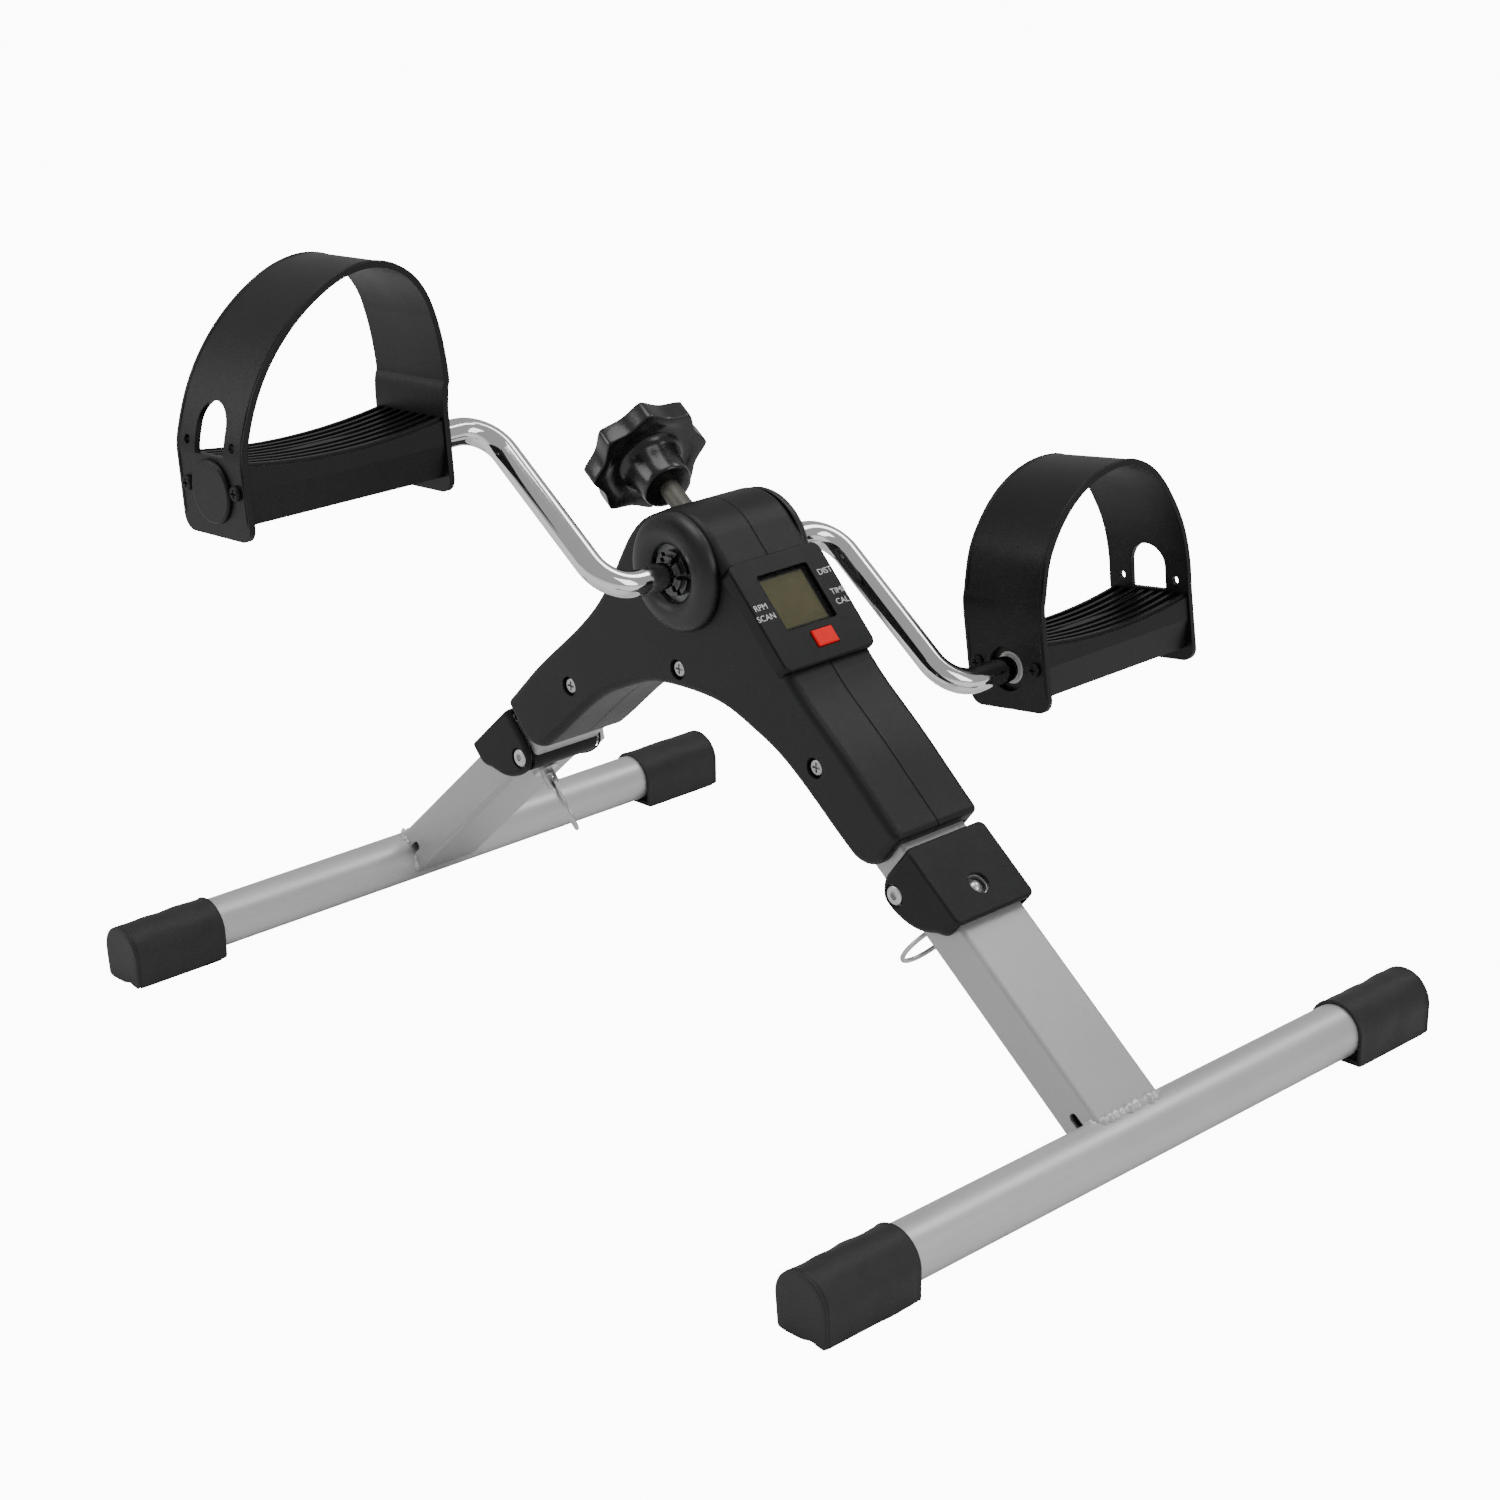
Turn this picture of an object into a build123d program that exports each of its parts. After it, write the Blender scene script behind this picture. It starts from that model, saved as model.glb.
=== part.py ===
"""Folding pedal exerciser with a bent one-piece crank, a screw brake and a small display.

Millimetres, +Z up.  X runs from the rear foot bar to the front foot bar, where the user
sits and the display faces.  Y runs along the crank axis.  The origin is on the floor,
under the middle of the object.  Everything is built in the deployed position with the
left pedal high and to the rear.
"""
import os
from math import atan2, cos, degrees, radians, sin

from build123d import *

# ---- floor bars and legs -------------------------------------------------------------
BAR_X = 248.5            # foot bar centre, front and rear
BAR_Z = 15.5
BAR_R = 13.0
BAR_WALL = 1.5
BAR_HALF = 192.5
CAP_LEN = 52.7
CAP_HALF = 195.0
CAP_R = 15.2
CAP_BASE_HALF = 14.7

SLOPE = 40.0             # legs and arms fall away at this angle
TUBE_LOW = 159.6         # rectangular tube, measured along the outward normal
TUBE_TOP = 181.6
TUBE_HALF = 20.0         # half of the 40 mm side
TUBE_WALL = 1.5
TUBE_EDGE = 2.2
ARM_HALF = 20.3
ARM_END = 28.3
LEG_START = 29.0

# ---- folding hinge, in (along leg, Y, outward normal) ---------------------------------
PIVOT_T = 36.0
PIVOT_N = 163.3
KNUCKLE_R = 7.5
KNUCKLE_HALF = 20.1
BOLT_R = 3.0
BOLT_RUN = 0.05
BOLT_HEAD_R = 4.7
COVER_START = 26.5
COVER_END = 68.2
COVER_TOP = 187.0
COVER_HALF = 24.5
COVER_INNER = 22.2
COVER_UNDER = 185.3
BRACKET_HALF = 22.1
BRACKET_INNER = 20.3
BRACKET_UNDER = 183.4
BRACKET_TOP = 185.2

PIN_T = 53.6
PIN_R = 4.0
PIN_RUN = 0.05
PIN_TIP = 185.5
PIN_NECK_R = 3.5
PIN_EYE_N = 153.5
RING_MEAN_R = 14.8
RING_WIRE_R = 1.15
RING_TURN = {"front": 90.0, "rear": 38.0}

# ---- hub and crank --------------------------------------------------------------------
HUB_Z = 225.8
HUB_R = 17.0
HUB_BORE_R = 14.0
HUB_HALF = 23.4
ROD_R = 6.35
ROD_RUN = 0.06
THROW = 98.6
CRANK_ANGLE = 137.3      # left pedal, from +X towards +Z
ROD_INNER_Y = 67.5
ROD_OUTER_Y = 76.0
ROD_END_Y = 216.0
ROD_BEND_R = 18.0
DRUM_R = 12.0
DRUM_HALF = 9.0

# ---- pedals ----------------------------------------------------------------------------
STRAP_IN_Y = 113.9
STRAP_OUT_Y = 222.1
STRAP_THICK = 2.8
STRAP_HALF = 25.5
STRAP_LOW = -20.0
PEDAL_TILT = {"left": 2.0, "right": 6.0}

# ---- housing ----------------------------------------------------------------------------
SEAM_HALF = 0.2          # half of the fine gap between the two halves
HOUSE_HALF = 26.2
HOUSE_WALL = 2.5
DOME_R = 28.95
COVER_RING_R = 28.3

# ---- display, in (down the slope, Y, outward normal) -------------------------------------
DISPLAY_SLOPE = 47.5
DISPLAY_SEAT = 181.5
DISPLAY_FACE = 184.5
DISPLAY_TOP_S = -150.0
DISPLAY_END_S = -93.0
DISPLAY_HALF = 28.0

# ---- tension knob -------------------------------------------------------------------------
KNOB_ANGLE = 27.8        # of its axis over the horizontal, towards the rear
KNOB_LEAN = 10.3         # of its axis to the right of the middle plane
KNOB_R = 30.4
KNOB_UNDER = 71.4
KNOB_TOP = 82.4
KNOB_BOSS_END = 52.4
KNOB_BOSS = [(12.5, 53.7), (12.9, 58.5), (14.4, 63.5), (17.4, 68.4), (21.8, 71.4)]
KNOB_PHASE = 27.2
STUD_R = 5.0

os.makedirs("parts", exist_ok=True)


def block(a0, a1, b0, b1, c0, c1):
    """Box from opposite corners along the three axes."""
    return Pos((a0 + a1) / 2, (b0 + b1) / 2, (c0 + c1) / 2) * Box(a1 - a0, b1 - b0, c1 - c0)


def rod_y(a, c, radius, y0, y1):
    """Cylinder along Y."""
    return Pos(a, (y0 + y1) / 2, c) * Rot(90, 0, 0) * Cylinder(radius, y1 - y0)


def rod_z(a, b, radius, c0, c1):
    """Cylinder along Z."""
    return Pos(a, b, (c0 + c1) / 2) * Cylinder(radius, c1 - c0)


def drawn_y(face, y0, y1):
    """A face sketched in XY, stood up in the XZ plane and drawn out along Y."""
    wall = Plane(origin=(0, y1, 0), x_dir=(1, 0, 0), z_dir=(0, -1, 0))
    return extrude(wall * face, amount=y1 - y0, dir=(0, -1, 0))


def drawn_x(face, x0, x1):
    """A face sketched in XY, stood up in the YZ plane and drawn out along X."""
    wall = Plane(origin=(x0, 0, 0), x_dir=(0, 1, 0), z_dir=(1, 0, 0))
    return extrude(wall * face, amount=x1 - x0, dir=(1, 0, 0))


def prism_y(points, y0, y1):
    """Polygon in the XZ plane drawn out along Y."""
    return drawn_y(make_face(Polyline(*[(x, z) for x, z in points], close=True)), y0, y1)


def save(shape, name):
    """One node, one file."""
    solids = shape.solids()
    export_step(solids[0] if len(solids) == 1 else Compound(children=list(solids)),
                f"parts/{name}.step")


LEG_PLANE = Plane(origin=(0, 0, 0), x_dir=(cos(radians(SLOPE)), 0, -sin(radians(SLOPE))),
                  z_dir=(sin(radians(SLOPE)), 0, cos(radians(SLOPE))))
FACE_PLANE = Plane(origin=(0, 0, 0),
                   x_dir=(cos(radians(DISPLAY_SLOPE)), 0, -sin(radians(DISPLAY_SLOPE))),
                   z_dir=(sin(radians(DISPLAY_SLOPE)), 0, cos(radians(DISPLAY_SLOPE))))


def knob_plane(lean):
    """Frame of the tension screw: Z out along it, X up the slope of its face."""
    a, b = radians(KNOB_ANGLE), radians(lean)
    return Plane(origin=(0, 0, HUB_Z), x_dir=(sin(a), 0, cos(a)),
                 z_dir=(-cos(a) * cos(b), sin(b), sin(a) * cos(b)))


KNOB_PLANE = knob_plane(KNOB_LEAN)


def to_side(shape, side):
    """From leg coordinates to the front leg, or mirrored to the rear leg."""
    placed = LEG_PLANE.location * shape
    return placed if side == "front" else mirror(placed, about=Plane.YZ)


def in_world(t, n):
    """XZ of a point given along the leg and along its normal, front side."""
    a = radians(SLOPE)
    return (cos(a) * t + sin(a) * n, -sin(a) * t + cos(a) * n)


# ======================= feet: bars and end caps ============================================
def foot_bar(side):
    x = BAR_X if side == "front" else -BAR_X
    tube = rod_y(x, BAR_Z, BAR_R, -BAR_HALF, BAR_HALF)
    return tube - rod_y(x, BAR_Z, BAR_R - BAR_WALL, -BAR_HALF - 1, BAR_HALF + 1)


def end_cap(side, hand):
    x = BAR_X if side == "front" else -BAR_X
    y0, y1 = CAP_HALF - CAP_LEN, CAP_HALF
    body = rod_y(x, BAR_Z, CAP_R, y0, y1)
    skirt = block(x - CAP_BASE_HALF, x + CAP_BASE_HALF, y0, y1, 0, BAR_Z)
    skirt = fillet(skirt.edges().filter_by(Axis.Y).group_by(Axis.Z)[0], 1.6)
    cap = body + skirt
    cap = cap - rod_y(x, BAR_Z, BAR_R, y0 - 1, BAR_HALF)
    cap = cap.solids()[0]
    return cap if hand == "right" else mirror(cap, about=Plane.XZ)


# ======================= rectangular arms and legs ===========================================
def tube_bar(t0, t1, half):
    outer = block(t0, t1, -half, half, TUBE_LOW, TUBE_TOP)
    outer = fillet(outer.edges().filter_by(Axis.X), TUBE_EDGE)
    inner = block(t0 - 1, t1 + 1, -half + TUBE_WALL, half - TUBE_WALL,
                  TUBE_LOW + TUBE_WALL, TUBE_TOP - TUBE_WALL)
    return outer - inner


SCREW_SEAT = 22.7        # under the heads of the housing screws
ARM_SCREW_T = -31.0
ARM_SCREW_N = 171.0
SCREW_R = 2.0


def arm(side):
    """Upper tube, mitred at the middle plane and coped round the hub tube."""
    shape = tube_bar(-200, ARM_END, ARM_HALF)
    shape = shape - rod_y(ARM_SCREW_T, ARM_SCREW_N, SCREW_R, -30, 30)
    shape = LEG_PLANE.location * shape
    shape = shape & block(0, 400, -100, 100, 0, 400)
    shape = shape - rod_y(0, HUB_Z, HUB_R, -60, 60)
    shape = shape - block(-5.8, 5.8, -4.3, 4.3, HUB_Z - 22.3, HUB_Z - 13)
    shape = max(shape.solids(), key=lambda s: s.volume)
    return shape if side == "front" else mirror(shape, about=Plane.YZ)


def leg(side):
    """Lower tube: notched round the knuckle, drilled for the lock pin, coped on the bar."""
    shape = tube_bar(LEG_START, 190, TUBE_HALF)
    shape = shape - block(0, PIVOT_T + KNUCKLE_R + 0.7, -30, 30, 150, PIVOT_N + 2.7)
    shape = shape - rod_y(PIVOT_T, PIVOT_N, KNUCKLE_R, -30, 30)
    shape = shape - rod_z(PIN_T, 0, PIN_R + PIN_RUN, 140, 200)
    slot = block(162.5, 190, -30, 30, 168.3, 172.9) + rod_y(162.5, 170.6, 2.3, -30, 30)
    shape = shape - slot
    shape = LEG_PLANE.location * shape
    shape = shape - rod_y(BAR_X, BAR_Z, BAR_R, -60, 60)
    shape = max(shape.solids(), key=lambda s: s.volume)
    return shape if side == "front" else mirror(shape, about=Plane.YZ)


# ======================= folding hinge =======================================================
def ear_profile(inset):
    """Side view of the hinge: straight top and back, round lobe at the pivot, swept toe."""
    t0, t1, top = COVER_START + inset, COVER_END - inset, COVER_TOP + 6
    lobe = 7.7 - inset
    edges = [
        Line((t0, top), (t0, PIVOT_N + 4)),
        Spline((t0, PIVOT_N + 4), (PIVOT_T - 6.4 + 0.8 * inset, PIVOT_N - 4.4 + 0.6 * inset),
               (PIVOT_T, PIVOT_N - lobe), tangents=[(0, -1), (1, 0)]),
        Spline((PIVOT_T, PIVOT_N - lobe), (49.0 - 0.2 * inset, 158.4 + inset),
               (57.0 - 0.6 * inset, 163.6 + 0.8 * inset), (63.2 - 0.8 * inset, 170.9 + 0.5 * inset),
               (t1, 181.0), tangents=[(1, 0), (0, 1)]),
        Line((t1, 181.0), (t1, top)),
        Line((t1, top), (t0, top)),
    ]
    return make_face(Wire(edges))


def ears(inset, half, top):
    solid = drawn_y(ear_profile(inset), -half, half)
    return solid - block(0, 100, -half - 1, half + 1, top, top + 40)


def hinge_cover(side):
    shape = ears(0.0, COVER_HALF, COVER_TOP)
    corners = [e for e in shape.edges().filter_by(Axis.Z)
               if abs(abs(e.center().Y) - COVER_HALF) < 0.01]
    shape = fillet(corners, 3.5)
    rim = [e for e in shape.edges() if abs(e.center().Z - COVER_TOP) < 0.01]
    shape = fillet(rim, 1.2)
    shape = shape - block(0, 100, -COVER_INNER, COVER_INNER, 100, COVER_UNDER)
    shape = shape - rod_y(PIVOT_T, PIVOT_N, 5.5, -40, -COVER_INNER + 1)
    shape = shape - rod_y(PIVOT_T, PIVOT_N, 6.4, COVER_INNER - 1, 40)
    shape = shape - rod_z(PIN_T, 0, 5.3, 170, 200)
    return to_side(shape, side)


def hinge_bracket(side):
    shape = ears(2.2, BRACKET_HALF, BRACKET_TOP)
    shape = shape - block(0, 100, -BRACKET_INNER, BRACKET_INNER, 100, BRACKET_UNDER)
    shape = shape - rod_y(PIVOT_T, PIVOT_N, BOLT_R, -40, 40)
    shape = shape - rod_z(PIN_T, 0, 4.75, 170, 200)
    return to_side(shape, side)


def knuckle(side):
    shape = rod_y(PIVOT_T, PIVOT_N, KNUCKLE_R, -KNUCKLE_HALF, KNUCKLE_HALF)
    shape = shape - rod_y(PIVOT_T, PIVOT_N, BOLT_R + BOLT_RUN, -30, 30)
    return to_side(shape, side)


def pivot_bolt(side):
    shank = rod_y(PIVOT_T, PIVOT_N, BOLT_R, -BRACKET_HALF, 27.6)
    head = rod_y(PIVOT_T, PIVOT_N, BOLT_HEAD_R, -BRACKET_HALF - 2.3, -BRACKET_HALF)
    rim = [e for e in head.edges() if e.center().Y < -BRACKET_HALF - 2.2]
    head = fillet(rim, 1.0)
    hexagon = Pos(PIVOT_T, -BRACKET_HALF - 2.4, PIVOT_N) * Rot(-90, 0, 0) * extrude(
        RegularPolygon(2.3, 6), amount=1.5)
    return to_side(shank + head - hexagon, side)


def pivot_nut():
    nut = Pos(PIVOT_T, BRACKET_HALF, PIVOT_N) * Rot(-90, 0, 0) * extrude(
        RegularPolygon(5.0, 6, major_radius=False), amount=5.0)
    return nut - rod_y(PIVOT_T, PIVOT_N, BOLT_R, 0, 40)


def ring_frame(side):
    """Origin at the eye of the pin, X along the eye, Z along the outward normal."""
    turn = radians(RING_TURN[side])
    return Plane(origin=(PIN_T, 0, PIN_EYE_N), x_dir=(cos(turn), sin(turn), 0), z_dir=(0, 0, 1))


def lock_pin(side):
    shank = rod_z(PIN_T, 0, PIN_R, TUBE_LOW, PIN_TIP - PIN_R)
    dome = Pos(PIN_T, 0, PIN_TIP - PIN_R) * Sphere(PIN_R)
    flange = rod_z(PIN_T, 0, 6.6, TUBE_LOW - 2.0, TUBE_LOW)
    neck = rod_z(PIN_T, 0, PIN_NECK_R, PIN_EYE_N - 3.2, TUBE_LOW - 2.0)
    nose = Pos(PIN_T, 0, PIN_EYE_N - 3.2) * Sphere(PIN_NECK_R)
    shape = shank + dome + flange + neck + (nose & block(0, 100, -9, 9, 140, PIN_EYE_N - 3.2))
    eye = ring_frame(side).location * Rot(0, 90, 0) * Cylinder(1.85, 20)
    return to_side(shape - eye, side)


def pull_ring(side):
    ring = Rot(90, 0, 0) * Torus(RING_MEAN_R, RING_WIRE_R)
    return to_side(ring_frame(side).location * Pos(0, 0, -RING_MEAN_R) * ring, side)


# ======================= hub, crank and brake ===============================================
def hub_tube():
    shape = rod_y(0, HUB_Z, HUB_R, -HUB_HALF, HUB_HALF)
    shape = shape - rod_y(0, HUB_Z, HUB_BORE_R, -40, 40)
    shape = shape - KNOB_PLANE.location * rod_z(0, 0, 7.1, 0, 40)
    return shape - rod_z(0, 0, 3.55, HUB_Z - 40, HUB_Z)


def hub_bushings():
    """Nylon bushings pressed into both ends of the hub tube."""
    body = rod_y(0, HUB_Z, HUB_BORE_R, 12.5, HUB_HALF) + rod_y(0, HUB_Z, 16.4, HUB_HALF, HUB_HALF + 2)
    body = body - rod_y(0, HUB_Z, ROD_R + ROD_RUN, 0, 60)
    return body + mirror(body, about=Plane.XZ)


def crank_ends():
    a = radians(CRANK_ANGLE)
    return THROW * cos(a), HUB_Z + THROW * sin(a)


def crank():
    """One bent steel rod from pedal to pedal."""
    x, z = crank_ends()
    points = [(x, -ROD_END_Y, z), (x, -ROD_OUTER_Y, z), (0, -ROD_INNER_Y, HUB_Z),
              (0, ROD_INNER_Y, HUB_Z), (-x, ROD_OUTER_Y, 2 * HUB_Z - z),
              (-x, ROD_END_Y, 2 * HUB_Z - z)]
    path = FilletPolyline(*points, radius=ROD_BEND_R)
    section = Plane(origin=path @ 0, z_dir=path % 0) * Circle(ROD_R)
    return sweep(section, path=path)


MAGNET_ANGLE = -62.0


def magnet_frame():
    a = radians(MAGNET_ANGLE)
    return Plane(origin=(0, 0, HUB_Z), x_dir=(0, 1, 0), z_dir=(cos(a), 0, sin(a)))


def crank_drum():
    shape = rod_y(0, HUB_Z, DRUM_R, -DRUM_HALF, DRUM_HALF)
    shape = shape - rod_y(0, HUB_Z, ROD_R, -20, 20)
    return shape - magnet_frame().location * rod_z(0, 0, 2.5, 8.5, 20)


def sensor_magnet():
    pellet = magnet_frame().location * rod_z(0, 0, 2.5, 8.5, 14)
    return pellet & rod_y(0, HUB_Z, DRUM_R - 0.1, -9, 9)


def crank_nuts():
    """Slotted retaining nuts against both bushings."""
    y0 = HUB_HALF + 2.2
    nut = rod_y(0, HUB_Z, 10.8, y0, y0 + 5.2) + rod_y(0, HUB_Z, 8.6, y0 + 5.2, y0 + 7.0)
    for k in range(6):
        cut = block(5.5, 13, -50, 50, -1.3, 1.3) & block(0, 20, y0 + 3.2, y0 + 9, -5, 5)
        nut = nut - Pos(0, 0, HUB_Z) * Rot(0, 60 * k, 0) * cut
    nut = nut - rod_y(0, HUB_Z, ROD_R, 0, 60)
    return nut + mirror(nut, about=Plane.XZ)


FELT_GAP = 1.6


def brake_plunger():
    shape = rod_z(0, 0, 7.0, DRUM_R + FELT_GAP + 3.0, 23.0)
    return KNOB_PLANE.location * shape


def brake_felt():
    pad = KNOB_PLANE.location * rod_z(0, 0, 6.9, 8, DRUM_R + FELT_GAP + 3.0)
    return pad - rod_y(0, HUB_Z, DRUM_R + FELT_GAP, -30, 30)


STUD_START = 23.2
NUT_R0 = 26.0
NUT_R1 = 30.5


def tension_stud():
    return KNOB_PLANE.location * rod_z(0, 0, STUD_R, STUD_START, KNOB_UNDER + 2)


def tension_nut():
    nut = Pos(0, 0, NUT_R0) * extrude(RegularPolygon(8.0, 6, major_radius=False),
                                      amount=NUT_R1 - NUT_R0)
    return KNOB_PLANE.location * (nut - rod_z(0, 0, STUD_R + 0.05, 10, 60))


def tension_knob():
    """Eight-lobed hand knob with a long flared boss round the stud."""
    lobes = 8
    points = []
    for k in range(lobes):
        a = radians(KNOB_PHASE + 360 / lobes * k)
        b = radians(KNOB_PHASE + 360 / lobes * (k + 0.5))
        points.append((KNOB_R * cos(a), KNOB_R * sin(a)))
        points.append((KNOB_R * 0.845 * cos(b), KNOB_R * 0.845 * sin(b)))
    edges = []
    for k in range(lobes):
        tip, dip = points[2 * k], points[2 * k + 1]
        nxt = points[(2 * k + 2) % (2 * lobes)]
        edges.append(ThreePointArc(tip, dip, nxt))
    body = extrude(Pos(0, 0, KNOB_UNDER) * make_face(Wire(edges)), amount=KNOB_TOP - KNOB_UNDER)
    tips = [e for e in body.edges().filter_by(Axis.Z)]
    body = fillet(tips, 2.2)
    flare = [(0, KNOB_BOSS_END), (KNOB_BOSS[0][0] - 1.3, KNOB_BOSS_END)] + KNOB_BOSS
    flare = flare + [(KNOB_BOSS[-1][0], KNOB_UNDER + 5), (0, KNOB_UNDER + 5)]
    body = body + revolve(Plane.XZ * make_face(Polyline(*flare, close=True)), Axis.Z)
    body = body - rod_z(0, 0, STUD_R, 0, KNOB_UNDER + 2)
    return KNOB_PLANE.location * body


# ======================= housing ==============================================================
def line_point(s, m):
    """XZ of a point on the display slope."""
    a = radians(DISPLAY_SLOPE)
    return (cos(a) * s + sin(a) * m, -sin(a) * s + cos(a) * m)


def house_face():
    """Side outline: dome over the hub, sloping shoulders, round heels and an arch below."""
    a = radians(DISPLAY_SLOPE)
    front_tangent = (DOME_R * sin(a), HUB_Z + DOME_R * cos(a))
    rear_join = (-13.0, HUB_Z + (DOME_R ** 2 - 13.0 ** 2) ** 0.5)
    seat_end = line_point(-88.0, DISPLAY_SEAT)
    heel_top = in_world(22.0, 188.6)
    heel_low = in_world(22.0, 171.0)
    heel_mid = in_world(18.3, 162.2)
    sole = in_world(10.0, 157.4)
    under = [in_world(-12.0, 156.9), in_world(-36.0, 156.6), in_world(-52.0, 154.9),
             in_world(-68.0, 150.6), (28.0, 165.4), (0.0, 168.2)]
    rear_under = [(-x, z) for x, z in reversed(under[:-1])]
    mid_front = in_world(-30.0, 190.6)
    down = (cos(a), -sin(a))
    edges = [
        ThreePointArc(rear_join, (0.0, HUB_Z + DOME_R), front_tangent),
        Line(front_tangent, seat_end),
        Spline(seat_end, mid_front, heel_top, tangents=[down, (cos(radians(41)), -sin(radians(41)))]),
        Line(heel_top, heel_low),
        Spline(heel_low, heel_mid, sole),
        Spline(sole, *under, *rear_under, (-sole[0], sole[1])),
        Spline((-sole[0], sole[1]), (-heel_mid[0], heel_mid[1]), (-heel_low[0], heel_low[1])),
        Line((-heel_low[0], heel_low[1]), (-heel_top[0], heel_top[1] + 1.0)),
        Spline((-heel_top[0], heel_top[1] + 1.0), (-114.0, 153.6), (-62.5, 198.2), (-47.0, 219.5),
               (-36.0, 236.2), (-26.0, 245.6), rear_join,
               tangents=[(sin(radians(48.5)), cos(radians(48.5))), (cos(radians(24)), sin(radians(24)))]),
    ]
    return make_face(Wire(edges))


def redrawn(face):
    """The same outline in plain lines and splines."""
    edges = []
    for edge in face.faces()[0].outer_wire().edges():
        points = [edge @ (k / 10) for k in range(11)]
        straight = edge.geom_type == GeomType.LINE
        edges.append(Line(points[0], points[-1]) if straight else Spline(*points))
    return make_face(Wire(edges))


def arm_clearance():
    cut = block(-60, 60, -ARM_HALF - 0.3, ARM_HALF + 0.3, TUBE_LOW - 0.25, TUBE_TOP + 0.5)
    return to_side(cut, "front") + to_side(cut, "rear")


def arm_screw_spots():
    x, z = in_world(ARM_SCREW_T, ARM_SCREW_N)
    return [(x, z), (-x, z)]


MID_SCREW = (-4.5, 177.4)


def housing(hand):
    """One moulded half, parted on the middle plane, built on the right and mirrored."""
    screw = knob_plane(KNOB_LEAN if hand == "right" else -KNOB_LEAN).location
    face = house_face()
    outer = drawn_y(face, SEAM_HALF, HOUSE_HALF)
    heels = [e for e in outer.edges().filter_by(Axis.Y)
             if abs(abs(e.center().X) - in_world(22.0, 189.0)[0]) < 1.2]
    outer = fillet(heels, 2.5)
    rim = [e for e in outer.edges() if abs(e.center().Y - HOUSE_HALF) < 0.01]
    outer = fillet(rim, 4.0)
    inner_face = redrawn(offset(face, amount=-HOUSE_WALL))
    inner = drawn_y(inner_face, -1, HOUSE_HALF - HOUSE_WALL)
    shell = outer - inner
    side_in = HOUSE_HALF - HOUSE_WALL
    for x, z in arm_screw_spots():
        shell = shell + rod_y(x, z, 6.8, ARM_HALF + 0.4, side_in + 0.5)
    shell = shell + (rod_y(MID_SCREW[0], MID_SCREW[1], 5.2, 0, side_in + 0.5) & outer)
    boss = screw * rod_z(0, 0, 10.6, 25.5, 34.5)
    shell = shell + (boss & block(-100, 100, 0, 60, 0, 400) & outer)
    pocket = Pos(0, 0, NUT_R0 - 3) * extrude(RegularPolygon(8.1, 6, major_radius=False),
                                             amount=NUT_R1 - NUT_R0 + 3)
    shell = shell - screw * pocket
    shell = shell - screw * rod_z(0, 0, STUD_R + 0.4, 20, 60)
    shell = shell - arm_clearance()
    shell = shell - rod_y(0, HUB_Z, HUB_R + 0.3, -1, HUB_HALF + 0.2)
    shell = shell - rod_y(0, HUB_Z, 16.8, -1, 60)
    for x, z in arm_screw_spots():
        shell = shell - rod_y(x, z, SCREW_R + 0.1, 0, 60)
        shell = shell - rod_y(x, z, 4.9, SCREW_SEAT, 60)
    shell = shell - rod_y(MID_SCREW[0], MID_SCREW[1], SCREW_R, -1, 20.0 if hand == "right" else 60)
    if hand == "left":
        shell = shell - rod_y(MID_SCREW[0], MID_SCREW[1], 4.9, SCREW_SEAT, 60)
    window = block(-144.0, -99.0, -21.2, 21.2, 165, 200)
    shell = shell - FACE_PLANE.location * window
    shell = max(shell.solids(), key=lambda s: s.volume)
    return shell if hand == "right" else mirror(shell, about=Plane.XZ)


def recessed_head(x, z, y):
    head = rod_y(x, z, 3.9, y, y + 2.4)
    top = [e for e in head.edges() if e.center().Y > y + 2.3]
    head = fillet(top, 0.8)
    slot_a = block(x - 2.4, x + 2.4, y + 1.0, y + 3, z - 0.5, z + 0.5)
    slot_b = block(x - 0.5, x + 0.5, y + 1.0, y + 3, z - 2.4, z + 2.4)
    return head - slot_a - slot_b


def housing_screws():
    """Four short screws into the arms and one long screw through the middle boss."""
    screws = []
    for x, z in arm_screw_spots():
        one = recessed_head(x, z, SCREW_SEAT) + rod_y(x, z, SCREW_R, 13.0, SCREW_SEAT)
        screws.append(one)
        screws.append(mirror(one, about=Plane.XZ))
    x, z = MID_SCREW
    long = recessed_head(x, z, SCREW_SEAT) + rod_y(x, z, SCREW_R, -15.0, SCREW_SEAT)
    screws.append(mirror(long, about=Plane.XZ))
    return Compound(children=screws)


def hub_cover(hand):
    """Round trim ring round the crank, hollow behind."""
    y0 = HOUSE_HALF
    profile = Polyline((13.6, y0), (COVER_RING_R, y0), (COVER_RING_R, y0 + 2.2),
                       (27.2, y0 + 4.6), (24.6, y0 + 6.5), (21.0, y0 + 7.4), (17.6, y0 + 7.2),
                       (15.0, y0 + 6.0), (13.6, y0 + 4.2), close=True)
    ring = revolve(Plane.XY * make_face(profile), axis=Axis.Y)
    hollow = rod_y(0, 0, 26.0, y0 - 1, y0 + 2.4) - rod_y(0, 0, 16.0, y0 - 2, y0 + 3)
    ring = Pos(0, 0, HUB_Z) * (ring - hollow)
    return ring if hand == "right" else mirror(ring, about=Plane.XZ)


def reed_sensor():
    body = rod_z(0, 0, 3.5, HUB_Z - 17.5, HUB_Z - 13.2)
    return body + block(-5.5, 5.5, -4, 4, HUB_Z - 22.0, HUB_Z - 17.5)


# ======================= display ==============================================================
def slab(s0, s1, half, m0, m1, radius):
    shape = block(s0, s1, -half, half, m0, m1)
    return fillet(shape.edges().filter_by(Axis.Z), radius)


WINDOW = (-141.0, -111.8, 15.4)
BUTTON_S = -104.2
BUTTON_Y = 2.2
BUTTON_LEN = 8.2
BUTTON_WIDE = 12.4


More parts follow.
